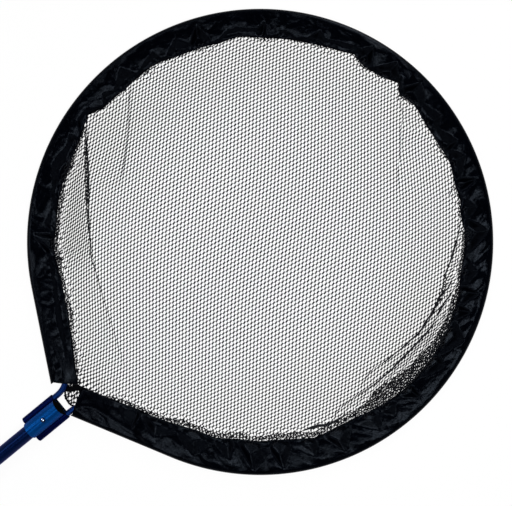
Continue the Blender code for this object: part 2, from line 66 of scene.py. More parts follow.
def newPiece(name, points, faces, body, slot):
    mesh = bpy.data.meshes.new(name)
    mesh.from_pydata([tuple(p) for p in points], [], faces)
    mesh.update()
    piece = bpy.data.objects.new(name, mesh)
    scene.collection.objects.link(piece)
    if body:
        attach(piece, body)
    return piece


# camera and light
camera = {"lens": 50, "height": 0.9383, "right": -0.0054, "up": -0.0145}
lens = bpy.data.cameras.new("camera")
lens.lens = camera["lens"]
eye = bpy.data.objects.new("camera", lens)
eye.location = (*lie(camera["right"], camera["up"]), camera["height"])
eye.rotation_euler = (0, 0, -viewTurn)
scene.collection.objects.link(eye)
scene.camera = eye

light = {
    "world": 0.06,
    "lamps": {  # watts, size, and place: right, up and height
        "corner": (11.5, 0.5, 0.47, -0.33, 1.4),
        "low": (6.5, 0.5, -0.30, -0.53, 1.4),
        "left": (7, 0.5, -1.37, 0, 1.4),
        "upperLeft": (5, 0.5, -0.69, 1.19, 1.4),
        "upperRight": (4.2, 0.5, 0.69, 1.19, 1.4),
        "farTop": (16, 0.7, 0.75, 1.70, 0.9),
    },
}
world = bpy.data.worlds.new("studio")
world.use_nodes = True
background = world.node_tree.nodes["Background"]
background.inputs["Color"].default_value = (1, 1, 1, 1)
background.inputs["Strength"].default_value = light["world"]
scene.world = world
for name, (watts, size, right, up, height) in light["lamps"].items():
    lamp = bpy.data.lights.new(name, "AREA")
    lamp.shape = "DISK"
    lamp.size = size
    lamp.energy = watts
    stand = bpy.data.objects.new(name, lamp)
    stand.location = (*lie(right, up), height)
    stand.rotation_euler = (Vector((hoopX, 0, 0)) - stand.location).to_track_quat("-Z", "Y").to_euler()
    scene.collection.objects.link(stand)

floorLook = {"reach": 9.0, "wall": 6.0, "sides": 48, "drop": 0.0004, "shade": 0.06, "colour": 0.85}
turns = [math.tau * k / floorLook["sides"] for k in range(floorLook["sides"])]
rim = [(floorLook["reach"] * math.cos(turn), floorLook["reach"] * math.sin(turn)) for turn in turns]
corners = [(x, y, 0) for x, y in rim] + [(x, y, floorLook["wall"]) for x, y in rim]
count = len(rim)
sides = [(k, k + count, (k + 1) % count + count, (k + 1) % count) for k in range(count)]
floorMesh = bpy.data.meshes.new("floor")
floorMesh.from_pydata(corners, [], [tuple(range(count))] + sides)
floor = bpy.data.objects.new("floor", floorMesh)
floor.location = (0, 0, -floorLook["drop"])
scene.collection.objects.link(floor)
paper = bpy.data.materials.new("paper")
paper.use_nodes = True
tree = paper.node_tree
matt = tree.nodes["Principled BSDF"]
matt.inputs["Base Color"].default_value = (*[floorLook["colour"]] * 3, 1)
matt.inputs["Roughness"].default_value = 1
matt.inputs["Specular IOR Level"].default_value = 0
glow = tree.nodes.new("ShaderNodeEmission")  # white to the eye and in reflections
path = tree.nodes.new("ShaderNodeLightPath")
seen = path.outputs["Is Camera Ray"]
for ray in ("Is Glossy Ray", "Is Transmission Ray"):
    either = tree.nodes.new("ShaderNodeMath")
    either.operation = "MAXIMUM"
    tree.links.new(seen, either.inputs[0])
    tree.links.new(path.outputs[ray], either.inputs[1])
    seen = either.outputs[0]
share = tree.nodes.new("ShaderNodeMath")
share.operation = "MULTIPLY"
share.inputs[1].default_value = 1 - floorLook["shade"]
tree.links.new(seen, share.inputs[0])
both = tree.nodes.new("ShaderNodeMixShader")
tree.links.new(share.outputs[0], both.inputs["Fac"])
tree.links.new(matt.outputs["BSDF"], both.inputs[1])
tree.links.new(glow.outputs["Emission"], both.inputs[2])
tree.links.new(both.outputs["Shader"], tree.nodes["Material Output"].inputs["Surface"])
floorMesh.materials.append(paper)
print("camera, light and floor ready")


# finishes
def grain(made, scale, detail=4, along=1):  # noise, drawn out along the handle where along is under 1
    place = made.nodes.new("ShaderNodeTexCoord")
    stretch = made.nodes.new("ShaderNodeMapping")
    stretch.inputs["Scale"].default_value = (along, 1, 1)
    speckle = made.nodes.new("ShaderNodeTexNoise")
    speckle.inputs["Scale"].default_value = scale
    speckle.inputs["Detail"].default_value = detail
    made.links.new(place.outputs["Object"], stretch.inputs["Vector"])
    made.links.new(stretch.outputs["Vector"], speckle.inputs["Vector"])
    return speckle.outputs["Fac"]


def spread(made, source, low, high, socket):
    span = made.nodes.new("ShaderNodeMapRange")
    span.inputs["To Min"].default_value = low
    span.inputs["To Max"].default_value = high
    made.links.new(source, span.inputs["Value"])
    made.links.new(span.outputs["Result"], socket)


def tint(made, source, dark, pale, socket):
    ramp = made.nodes.new("ShaderNodeValToRGB")
    for end, place, colour in zip(ramp.color_ramp.elements, (0.3, 0.7), (dark, pale)):
        end.position = place
        end.color = (*colour, 1)
    made.links.new(source, ramp.inputs["Fac"])
    made.links.new(ramp.outputs["Color"], socket)


def bumps(made, source, strength, distance, socket):
    bump = made.nodes.new("ShaderNodeBump")
    bump.inputs["Strength"].default_value = strength
    bump.inputs["Distance"].default_value = distance
    made.links.new(source, bump.inputs["Height"])
    made.links.new(bump.outputs["Normal"], socket)


def finish(name, look):  # each noise is a tuple for grain, before what it does
    material = bpy.data.materials.new(name)
    material.use_nodes = True
    made = material.node_tree
    sockets = made.nodes["Principled BSDF"].inputs
    for socket, value in look.get("plain", {}).items():
        sockets[socket].default_value = value
    if "colour" in look:
        tint(made, grain(made, *look["colour"][0]), *look["colour"][1:], sockets["Base Color"])
    if "rough" in look:
        spread(made, grain(made, *look["rough"][0]), *look["rough"][1:], sockets["Roughness"])
    if "shine" in look:
        spread(made, grain(made, *look["shine"][0]), *look["shine"][1:], sockets["Specular IOR Level"])
    if "bump" in look:
        bumps(made, grain(made, *look["bump"][0]), *look["bump"][1:], sockets["Normal"])
    return material


def blueMetal(name, dark, pale, metallic, shine):  # coloured coat with streaks along the drawn metal
    return finish(name, {
        "plain": {"Metallic": metallic, "Specular IOR Level": shine, "Specular Tint": (0.15, 0.35, 0.9, 1)},
        "colour": ((170, 3, 0.1), dark, pale),
        "rough": ((320,), 0.26, 0.38),
        "bump": ((1500, 2, 0.03), 0.15, 0.0001),
    })


socketBlue = blueMetal("socketBlue", (0, 0.019, 0.090), (0.001, 0.049, 0.205), 0.4, 0.08)
lobeNavy = blueMetal("lobeNavy", (0.0002, 0.0010, 0.018), (0.0006, 0.0022, 0.030), 0.4, 0.03)
navy = blueMetal("navy", (0.0001, 0.0022, 0.020), (0.0003, 0.0055, 0.035), 0.6, 0.2)
rodBlue = blueMetal("rodBlue", (0.0002, 0.005, 0.040), (0.0004, 0.010, 0.070), 0.5, 0.3)

nylonLook = {
    "plain": {"Specular Tint": (0.66, 0.80, 1, 1)},
    "colour": ((60,), (0, 0.0001, 0.0007), (0.0001, 0.0003, 0.0012)),
    "rough": ((150,), 0.18, 0.24),
    "shine": ((420, 2), 0.0, 0.085),
    "weave": {
        "Scale": 900,
        "Mortar Size": 0.03,
        "Color1": (1, 1, 1, 1),
        "Color2": (0.7, 0.7, 0.7, 1),
        "Mortar": (0, 0, 0, 1),
    },
    "weaveBump": (0.15, 0.0001),
}
nylon = finish("nylon", nylonLook)
made = nylon.node_tree
weave = made.nodes.new("ShaderNodeTexBrick")
for socket, value in nylonLook["weave"].items():
    weave.inputs[socket].default_value = value
made.links.new(made.nodes.new("ShaderNodeTexCoord").outputs["UV"], weave.inputs["Vector"])
bumps(made, weave.outputs["Color"], *nylonLook["weaveBump"], made.nodes["Principled BSDF"].inputs["Normal"])

yarn = finish("yarn", {
    "plain": {"Roughness": 0.75, "Specular IOR Level": 0.15},
    "colour": ((500,), (0.0015, 0.002, 0.0035), (0.004, 0.005, 0.008)),
    "bump": ((4000, 2), 0.4, 0.0002),
})
tape = finish("tape", {
    "plain": {"Roughness": 0.8, "Specular IOR Level": 0.02},
    "colour": ((500,), (0.0005, 0.0006, 0.001), (0.0012, 0.0016, 0.0024)),
    "bump": ((4000, 2), 0.4, 0.0002),
})


def moulded(name, dark, pale, shine):  # fine moulded grain
    return finish(name, {
        "plain": {"Specular IOR Level": shine},
        "colour": ((80,), (dark,) * 3, (pale,) * 3),
        "rough": ((600,), 0.38, 0.52),
        "bump": ((2500, 2), 0.2, 0.0001),
    })


blackPlastic = moulded("blackPlastic", 0.004, 0.008, 0.06)
# black plug; the same finish is painted on the bracket's front end as shade
plugBlackAndPaintedShade = moulded("plugBlackAndPaintedShade", 0.002, 0.004, 0)
blackFoam = finish("blackFoam", {
    "plain": {"Roughness": 0.9, "Specular IOR Level": 0.15},
    "colour": ((700,), (0.011, 0.011, 0.011), (0.024, 0.024, 0.024)),
    "bump": ((1400, 3), 0.5, 0.0005),
})
whitePlastic = finish("whitePlastic", {
    "plain": {"Roughness": 0.5},
    "colour": ((120,), (0.68, 0.68, 0.65), (0.78, 0.78, 0.75)),
    "bump": ((1800, 2), 0.15, 0.0001),
})


def steel(name, colour, low, high):
    plain = {"Base Color": (*colour, 1), "Metallic": 1.0}
    return finish(name, {"plain": plain, "rough": ((900,), low, high)})


brightSteel = steel("brightSteel", (0.74, 0.75, 0.78), 0.12, 0.26)
# painted reflection: the button's steel is tinted blue as if mirroring the blue socket
buttonSteelPaintedReflection = steel("buttonSteelPaintedReflection", (0.24, 0.29, 0.42), 0.08, 0.14)
# painted shade: dark navy for the button's sides
pinPaintedShade = steel("pinPaintedShade", (0.004, 0.012, 0.05), 0.25, 0.40)

dressed = {
    "hoop": rodBlue,
    "bracket": socketBlue,
    "front_tube": navy,
    "rear_tube": navy,
    "front_plug": plugBlackAndPaintedShade,
    "end_cap": blackPlastic,
    "lock_nut": blackPlastic,
    "hand_grip": blackFoam,
    "snap_button": buttonSteelPaintedReflection,
    "guide_bush": whitePlastic,
    "collet": whitePlastic,
}
for node, material in dressed.items():
    nodes[node].data.materials.clear()
    nodes[node].data.materials.append(material)

bracketLow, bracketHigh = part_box("bracket")
lobe = {"from": 0.0098, "below": 0.0125, "shadedFront": 0.6}  # the rolled lobes are darker than the socket, and the front end is painted black as shade
nodes["bracket"].data.materials.append(lobeNavy)
nodes["bracket"].data.materials.append(plugBlackAndPaintedShade)
for face in nodes["bracket"].data.polygons:
    if abs(face.center.y) > lobe["from"] and face.center.z < lobe["below"]:
        face.material_index = 1
    if face.normal.x > lobe["shadedFront"]:  # painted shade: the front end faces take the plug's black, standing in for shadow
        face.material_index = 2
pin = {"crown": 0.9}  # painted shade: only the button's crown is bright steel, its sides are painted dark navy
nodes["snap_button"].data.materials.append(pinPaintedShade)
for face in nodes["snap_button"].data.polygons:
    face.material_index = int(face.normal.z < pin["crown"])
print("finishes ready")


# lines
tiny = 1e-12  # keeps divisions from zero
beadTip = 0.05  # least share of its section, squared, that a strip keeps at its ends


def smoothLine(points, step=0.003):
    points = np.array(points, float)
    ends = np.vstack([2 * points[0] - points[1], points, 2 * points[-1] - points[-2]])
    fine = []
    for before, start, end, after in zip(ends, ends[1:], ends[2:], ends[3:]):
        count = max(2, int(np.linalg.norm((end - start)[:2]) / step))
        t = np.linspace(0, 1, count, endpoint=False)[:, None]
        fine.append(
            0.5
            * (
                2 * start
                + (end - before) * t
                + (2 * before - 5 * start + 4 * end - after) * t**2
                + (3 * start - before - 3 * end + after) * t**3
            )
        )
    return np.vstack(fine + [points[-1:]])


def bead(points, tall, sides=10):  # flattened round strip along a line of places and half widths, ends closed
    line = smoothLine(points, step=0.001)
    line, wide = line[:, :3], line[:, 3]
    run = np.gradient(line, axis=0)
    run /= np.linalg.norm(run, axis=1)[:, None]
    side = np.cross(run, (0, 0, 1))
    side /= np.linalg.norm(side, axis=1)[:, None]
    turns = np.linspace(0, math.tau, sides, endpoint=False)
    rings, count = [], len(line)
    for i in range(count):
        inward = min(1, 4 * i / count, 4 * (count - 1 - i) / count)  # a quarter at each end is rounded
        full = math.sqrt(max(beadTip, 1 - (1 - inward) ** 2))
        ring = line[i] + full * wide[i] * np.cos(turns)[:, None] * side[i]
        ring[:, 2] += full * tall * np.sin(turns)
        rings.append(ring)
    faces = []
    for i in range(count - 1):
        here, there = i * sides, (i + 1) * sides
        for k in range(sides):
            beside = (k + 1) % sides
            faces.append((here + k, here + beside, there + beside, there + k))
    faces += [tuple(reversed(range(sides))), tuple(range((count - 1) * sides, count * sides))]
    return np.concatenate(rings), faces


def joined(strips):
    points, faces = [], []
    for stripPoints, stripFaces in strips:
        first = sum(len(part) for part in points)
        points.append(stripPoints)
        faces += [tuple(first + k for k in face) for face in stripFaces]
    return np.concatenate(points), faces


# collar, whose hem also bounds the net
collar = {
    "start": math.radians(5.2),  # outer corner of the end by the upper rod
    "startHem": math.radians(1.5),
    "end": math.radians(360 - 3.1),
    "endHem": math.radians(360),
    "straight": math.radians(28),  # where the outer edge leaves the circle
    "outer": 0.3055,
    "skin": 0.0053,
    "rodHeight": 0.0065,
    "hemHeight": 0.0022,
    "rod": 0.004,
    "fall": 0.55,  # slope of the cloth beside the rod
    "flat": 0.45,  # under 1, the cloth stays high until it is near the hem
    "along": 1100,
    "across": 26,
    "around": 7,
    "under": 3,
    "cloth": 0.0005,
    "ease": 1.04,  # spare cloth across
    "clear": 0.0002,  # between cloth and rod
    "lowest": 0.0014,  # of the upper cloth
    "underHem": 0.0007,  # height of the lower cloth at the hem, and how far it stays behind it
    "hemClear": 0.0004,
    "rounded": 0.004,  # width over which the cloth bends beside the rod
    "ends": 8,  # one part in so many at each end follows the rod
    # degrees from the handle, and mm between gathers
    "gathers": [(0, 60), (25, 45), (60, 38), (130, 34), (290, 40), (320, 44), (360, 60)],
    "uneven": (0.5, 1.5),  # shortest and longest of them, as shares
    "puff": 0.002,  # height between gathers before the cloth settles
    "puffPower": 6,
    "zigzag": 0.0005,
    "slant": 2.5,
    "jitter": 0.0001,
    # where the fold's tips lie, as shares of the width from the hem: a range by the hem and one by the rod,
    # for the upper and the lower side
    "fold": ((-0.2, 0.4, 0.25, 1.0), (-0.1, 0.3, 0.6, 1.0)),
    "tips": (0.2, 0.8),  # where they come along the run between two gathers
    "soft": 0.0003,
    "tilt": 0.0015,  # fall of the cloth from the rod to the fold
    "tiltPower": 1.3,
    "fade": (4, 6),  # how fast the folds set in from the hem and from the rod
    "drop": [(0, 8), (10, 16), (24, 22), (345, 22), (360, 8)],  # degrees, and mm of fall past the fold
    "crumples": [(0.032, 0.0028), (0.014, 0.0007)],  # size and height
    "crumpleFade": 5,
    "crumpleSlant": 0.6,
    "crumpleLong": 0.8,
    "crumpleSlice": 100,
    "crumpleLevel": 0.3,
    "most": 0.007,  # that the settled cloth may move
    "hemHeld": 0.12,  # share of the width that keeps the hem's line
    "simScale": 10,  # the cloth settles at ten times its size
    "quality": 6,
    "mass": 0.3,
    "air": 3,
    "pull": 40,
    "shear": 20,
    "bending": 0.25,
    "frames": 25,
    "seed": 4,
    "hem": [  # degrees from the handle, and distance of the gathered edge from the centre in mm
        (0, 304), (1.5, 303), (3, 299), (6, 291), (8, 286.5), (12, 278), (20, 268), (28, 266),
        (37, 270.5), (46, 269), (54, 271), (62, 269.5), (70, 273.5), (76, 281.5), (80, 271),
        (88, 268), (99, 271.5), (106, 267), (118, 267), (123, 271.5), (130, 268.5), (142, 269),
        (152, 272), (156, 276), (160, 268), (165, 269), (168, 273), (170.5, 277), (172, 268.5),
        (174, 268), (178, 271.5), (184, 267), (190, 267), (197, 270.5), (203, 267), (208, 269),
        (212, 266), (216, 269), (221, 269), (229, 266.5), (234, 269.5), (244, 271.5), (254, 272),
        (262, 271.5), (270, 268.5), (281, 262.5), (287, 263), (294, 267), (299, 263), (304, 261),
        (310, 262), (316, 260.5), (322, 264), (328, 261), (334, 263.5), (340, 268), (346, 273),
        (352, 282), (357.5, 295), (360, 302),
    ],
}
hemLine = np.array(collar["hem"], float)


def hemReach(angle):  # distance of the hem from the hoop's centre
    return np.interp(np.degrees(angle) % 360, hemLine[:, 0], hemLine[:, 1]) / 1000


# net
net = {
    "column": 0.00467,
    "row": 0.00568,
    "lean": math.radians(3.7),
    "slash": 0.00106,  # half widths of the three runs of yarn
    "back": 0.00026,
    "level": 0.00032,
    "close": 0.8,  # most of a hole's width that its yarn takes
    "sharpest": 0.2,  # limit for the corners of a hole drawn flat
    "ridge": 0.0010,
    "lift": 0.0006,
    "lowest": 0.0002,
    "spread": 0.38,  # laid out this far from the centre before it is cut
    "under": 0.004,  # how far it goes under the collar
    "press": 0.6,  # flattened by so much at the collar
    "pressFrom": 0.006,
    "pressOver": 0.008,
    "swayCross": (0.0016, 0.061, 0.083),  # slow waves: height, and length to the right and up
    "swayStart": 1.3,
    "swaySlant": (0.0012, 0.12, 0.047),
    "swayUp": (0.0010, 0.071, 0.055),
    "slack": 0.15,
    "slackFrom": 0.10,
    "slackOver": 0.16,
    "throat": (-0.2425, -0.1990),  # middle of the tab: right and up
    "throatYarn": 0.8,  # it looks thicker there
    "stretch": 0.4,
    "stretchOver": 0.022,
    "throatHalf": math.radians(4),  # half angle in which the net ends at throatFrom, apart from the tab
    "throatFrom": 0.302,
    "tab": [  # towards the handle, and sideways
        (0.302, 0.0), (0.322, -0.0141), (0.3269, -0.0118), (0.3296, -0.0028), (0.3275, 0.0039),
        (0.3214, 0.0134), (0.300, 0.016),
    ],
}
centre = 0.001  # least distance from the hoop's centre in divisions
pleat = {"full": 0.003, "batch": 20000}  # overlap from which it lies in full layers, and points at a time
# pleats run along their inner crease, with the middle of the net on the left: mm right, mm up, mm of overlap
folds = {
    "upperLeft": {"crease": 0.0022, "layer": 0.0008, "squeeze": 0, "line": [
        (-170, 212, 0), (-171, 190, 2.6), (-172, 155, 2.8), (-177, 112, 2), (-186, 70, 0)]},
    "leftPleat": {"crease": 0.0010, "layer": 0.0011, "squeeze": 0.26, "line": [
        (-229, 172, 0), (-227, 158, 4), (-226, 133, 7), (-225, 100, 7.8), (-225, 65, 7.4),
        (-224, 28, 6), (-222, 2, 3.6), (-219, -22, 2), (-211, -57, 1.5), (-193, -116, 1.2),
        (-173, -180, 0)]},
    "rightDrape": {"crease": 0.0007, "layer": 0.0008, "squeeze": 0, "line": [
        (180, 60, 0), (182, 100, 1.2), (184, 130, 2.2), (185, 150, 1.6), (187, 165, 2.4),
        (183, 185, 2.2), (180, 200, 0)]},
    "lowerInner": {"crease": 0.0011, "layer": 0.0010, "squeeze": 0.12, "line": [
        (128, -196, 0), (147, -168, 1.6), (165, -156, 2.4), (186, -139, 3), (209, -118, 3),
        (225, -95, 4), (233, -74, 8), (238, -60, 9), (243, -40, 5), (250, -24, 3.4), (257, -2, 3),
        (260, 12, 2.6), (263.5, 28, 0)]},
    "throat": {"crease": 0.0008, "layer": 0.0007, "squeeze": 0, "line": [
        (-260, -175, 0), (-254, -183, 7), (-241, -198, 9), (-231, -210, 7), (-224, -219, 0)]},
    "lowerOuter": {"crease": 0.0011, "layer": 0.0010, "squeeze": 0.2, "line": [
        (92, -232, 0), (117, -208, 2.2), (147, -188, 3), (164, -173, 3.4), (186, -153, 3.6),
        (213, -124, 3.6), (226, -107, 3.2), (238, -86, 2.4), (247, -69, 0)]},
}


def tuck(away, overlap, crease):  # distance past a pleat's inner crease as it lies, and layers there
    past, clear = away - overlap, away - 2 * overlap
    turned = 0.5 * (np.hypot(past, crease) - np.hypot(clear, crease) + overlap)
    layers = 1 + 0.5 * np.tanh(past / crease) + 0.5 * np.tanh(clear / crease)
    return away - 2 * turned, layers


def takeIn(a, b, z, fold):
    line = smoothLine([(x / 1000, y / 1000, overlap / 1000) for x, y, overlap in fold["line"]])
    run = np.gradient(line[:, :2], axis=0)
    run /= np.linalg.norm(run, axis=1)[:, None]
    outward = np.stack([run[:, 1], -run[:, 0]], axis=1)
    near = np.zeros(len(a), int)
    for first in range(0, len(a), pleat["batch"]):
        part = slice(first, first + pleat["batch"])
        far = (a[part, None] - line[None, :, 0]) ** 2 + (b[part, None] - line[None, :, 1]) ** 2
        near[part] = far.argmin(axis=1)
    side = outward[near]
    away = (a - line[near, 0]) * side[:, 0] + (b - line[near, 1]) * side[:, 1]
    overlap = np.maximum(line[near, 2], 0)
    lies, layers = tuck(away, overlap, fold["crease"])
    full = np.minimum(1, overlap / pleat["full"])
    lies -= fold["squeeze"] * full * np.maximum(0, lies - overlap)
    shift = away - lies
    return a - shift * side[:, 0], b - shift * side[:, 1], z + fold["layer"] * layers * full


# gathered edge of the net
gather = {
    "crease": 0.0007,
    "layer": 0.0009,
    "full": 0.004,  # overlap from which it lies in full layers
    "behind": 0.0015,  # more overlap out of sight under the collar
    "waves": ((0.0010, 23, 0), (0.0008, 41, 2)),  # height, count round the hoop, and start
    "ripple": 0.0010,
    "rippleOver": 0.008,
    "rippleRight": (300, 700),  # radians for each metre to the right and up
    "rippleUp": (640, -410),
    "rippleLayer": 2,
    "overlap": [  # degrees from the handle, and mm
        (0, 2), (6, 3), (10, 5), (30, 6), (55, 5), (65, 3), (80, 1.5), (200, 1.5), (218, 3),
        (230, 5), (240, 8), (249, 11), (255, 15), (262, 20), (269, 23), (274, 17), (278, 12),
        (281.5, 8), (286, 8), (294, 9.5), (300, 8), (330, 7), (348, 5), (354, 3), (360, 2),
    ],
}
gatherLine = np.array(gather["overlap"], float)


def fromHandle(a, b):  # angle round the hoop from the handle, towards the upper side
    return (np.arctan2(-b, a) - (math.pi - viewTurn)) % math.tau


def gatherIn(a, b, z):
    reach = np.hypot(a, b)
    angle = fromHandle(a, b)
    overlap = np.interp(np.degrees(angle), gatherLine[:, 0], gatherLine[:, 1]) / 1000
    overlap += sum(tall * np.sin(count * angle + start) for tall, count, start in gather["waves"])
    overlap += gather["behind"]
    away = reach - hemReach(angle) - gather["behind"] + overlap
    lies, layers = tuck(away, overlap, gather["crease"])
    full = np.minimum(1, overlap / gather["full"])
    drawn = 1 - (away - lies) / np.maximum(reach, centre)
    a, b = a * drawn, b * drawn
    ripple = gather["ripple"] * full * np.exp(-((np.minimum(0, lies) / gather["rippleOver"]) ** 2))
    phases = []
    for perRight, perUp in (gather["rippleRight"], gather["rippleUp"]):
        phases.append(perRight * a + perUp * b + gather["rippleLayer"] * layers)
    z = z + gather["layer"] * layers * full
    return a + ripple * np.sin(phases[0]), b + ripple * np.sin(phases[1]), z


def slacken(a, b):  # the net is drawn in towards its edge, and stretched wide in the throat
    reach = np.hypot(a, b)
    past = np.clip((reach - net["slackFrom"]) / net["slackOver"], 0, 1)
    eased = net["slackOver"] * (past**3 - past**4 / 2)
    beyond = np.maximum(0, reach - net["slackFrom"] - net["slackOver"])
    drawn = 1 - net["slack"] * (eased + beyond) / np.maximum(reach, centre)
    a, b = a * drawn, b * drawn
    throatA, throatB = net["throat"]
    wider = net["stretch"] * np.exp(-((a - throatA) ** 2 + (b - throatB) ** 2) / net["stretchOver"] ** 2)
    return a + wider * (a - throatA), b + wider * (b - throatB)


def sway(a, b, tall, right, up):
    return tall * np.sin(a / right + b / up)


def drape(a, b):  # where points of the flat net come to lie
    z = np.full(len(a), net["lift"])
    a, b = slacken(a, b)
    tall, right, up = net["swayCross"]
    slow = tall * np.sin(a / right + net["swayStart"]) * np.sin(b / up) + sway(a, b, *net["swaySlant"])
    a, b = a + slow, b + sway(a, b, *net["swayUp"])
    for fold in folds.values():
        a, b, z = takeIn(a, b, z, fold)
    a, b, z = gatherIn(a, b, z)
    pastHem = np.hypot(a, b) - hemReach(fromHandle(a, b))
    edge = np.clip((pastHem + net["pressFrom"]) / net["pressOver"], 0, 1)
    return a, b, net["lift"] + (z - net["lift"]) * (1 - net["press"] * edge)


def inOutline(u, v, outline):
    inside = np.zeros(len(u), bool)
    for (u0, v0), (u1, v1) in zip(outline, outline[1:] + outline[:1]):
        crosses = (v0 > v) != (v1 > v)
        at = u0 + (v - v0) / (v1 - v0 if v1 != v0 else 1) * (u1 - u0)
        inside ^= crosses & (u < at)
    return inside


def inNet(a, b):  # kept cloth, as it lies
    angle = fromHandle(a, b)
    reach = np.hypot(a, b)
    u, v = reach * np.cos(angle), reach * np.sin(angle)
    inHem = reach < hemReach(angle) + net["under"]
    throat = (angle < net["throatHalf"]) | (angle > math.tau - net["throatHalf"])
    return (inHem & ~throat) | inOutline(u, v, net["tab"]) | (throat & (u < net["throatFrom"]))


def neighbours(c, r):  # right up, up, left up, left down, down, right down
    high = r + (c & 1)  # every other column sits half a row higher
    low = high - 1
    return (c + 1, high), (c, r + 1), (c - 1, high), (c - 1, low), (c, r - 1), (c + 1, low)


def cellKnots(c, r):  # six corners of a hole from its right; each belongs to three holes and has one name
    rightUp, up, leftUp, leftDown, down, rightDown = neighbours(c, r)
    return [(c, r, 1), (*rightUp, -1), (*leftUp, 1), (c, r, -1), (*leftDown, 1), (*rightDown, -1)]


def holeCorners(rings, thicker):  # corners of each hole, in from its knots by half the yarn
    halves = thicker[:, None] * np.array([net["back"], net["level"], net["slash"]] * 2)
    edges = np.roll(rings, -1, axis=1) - rings
    across = np.cross(edges, np.roll(edges, -1, axis=1)).sum(axis=1)
    up = across / np.maximum(np.linalg.norm(across, axis=1), tiny)[:, None]
    inward = np.cross(up[:, None, :], edges)
    inward /= np.maximum(np.linalg.norm(inward, axis=2), tiny)[:, :, None]
    before, wideBefore = np.roll(inward, 1, axis=1), np.roll(halves, 1, axis=1)
    alike = (inward * before).sum(axis=2)
    apart = np.maximum(1 - alike**2, net["sharpest"])
    move = ((halves - alike * wideBefore) / apart)[:, :, None] * inward
    move += ((wideBefore - alike * halves) / apart)[:, :, None] * before
    most = net["close"] * np.linalg.norm(rings.mean(axis=1, keepdims=True) - rings, axis=2)
    far = np.maximum(np.linalg.norm(move, axis=2), tiny)
    return rings + move * np.minimum(1, most / far)[:, :, None], up


def knit():
    columns, rows = int(net["spread"] / net["column"]), int(net["spread"] / net["row"])
    cells = [(c, r) for c in range(-columns, columns + 1) for r in range(-rows, rows + 1)]
    cosine, sine = math.cos(net["lean"]), math.sin(net["lean"])
    turn = np.array(((cosine, -sine), (sine, cosine)))

    def laid(places):
        flat = np.array(places) @ turn
        return drape(flat[:, 0], flat[:, 1])

    def middle(c, r):
        return c * net["column"], (r + 0.5 * (c & 1)) * net["row"]

    a, b, z = laid([middle(*cell) for cell in cells])
    kept = {cell for cell, keep in zip(cells, inNet(a, b)) if keep}
    used = sorted(kept | {near for cell in kept for near in neighbours(*cell)})
    names = sorted({knot for cell in used for knot in cellKnots(*cell)})
    number = {knot: i for i, knot in enumerate(names)}
    corner = net["column"] * 2 / 3  # from a hole's middle to its right and left corners
    a, b, z = laid([(middle(c, r)[0] + hand * corner, middle(c, r)[1]) for c, r, hand in names])
    knots = np.stack([*lie(a, b), z], axis=1)
    ringed = np.array([[number[knot] for knot in cellKnots(*cell)] for cell in used])
    throatA, throatB = net["throat"]
    fromThroat = np.hypot(a[ringed].mean(axis=1) - throatA, b[ringed].mean(axis=1) - throatB)
    thicker = 1 + net["throatYarn"] * np.exp(-((fromThroat / net["stretchOver"]) ** 2))
    corners, up = holeCorners(knots[ringed], thicker)
    normal = np.zeros_like(knots)
    for k in range(6):
        np.add.at(normal, ringed[:, k], up)
    knots += net["ridge"] * normal / np.maximum(np.linalg.norm(normal, axis=1), tiny)[:, None]
    first = {cell: len(names) + 6 * i for i, cell in enumerate(used)}
    points = np.concatenate([knots, corners.reshape(-1, 3)])
    points[:, 2] = np.maximum(points[:, 2], net["lowest"])
    strands = {}  # the two holes beside each run of yarn, and the corner of one that it starts from
    for cell in sorted(kept):
        for k, other in enumerate(neighbours(*cell)):
            strands.setdefault(frozenset((cell, other)), (cell, k))
    halves = []
    for isUpper in (True, False):
        mine = {pair: start for pair, start in strands.items() if (max(r for c, r in pair) >= 0) == isUpper}
        faces, tied = [], set()
        for cell, k in mine.values():
            other, ring = neighbours(*cell)[k], cellKnots(*cell)
            ends = ring[k], ring[(k + 1) % 6]
            tied |= set(ends)
            p0, p1 = first[cell] + k, first[cell] + (k + 1) % 6
            q0, q1 = first[other] + (k + 3) % 6, first[other] + (k + 4) % 6
            n0, n1 = number[ends[0]], number[ends[1]]
            faces += [(p1, p0, n0, n1), (q1, q0, n1, n0), (p0, p1, q0, q1)]
        for c, r, hand in sorted(tied):
            rightUp, above, leftUp, leftDown, below, rightDown = neighbours(c, r)
            if hand == 1:
                three = [((c, r), 0), (rightUp, 4), (rightDown, 2)]
            else:
                three = [((c, r), 3), (leftDown, 1), (leftUp, 5)]
            under = [first[cell] + k for cell, k in three]
            faces.append(tuple(under))
            for i in range(3):
                j = (i + 1) % 3
                if frozenset((three[i][0], three[j][0])) not in mine:  # end of a cut run of yarn
                    faces.append((under[j], under[i], number[(c, r, hand)]))
        inUse = sorted({k for face in faces for k in face})
        again = {k: i for i, k in enumerate(inUse)}
        halves.append((points[inUse], [tuple(again[k] for k in face) for face in faces]))
    return halves, len(kept)


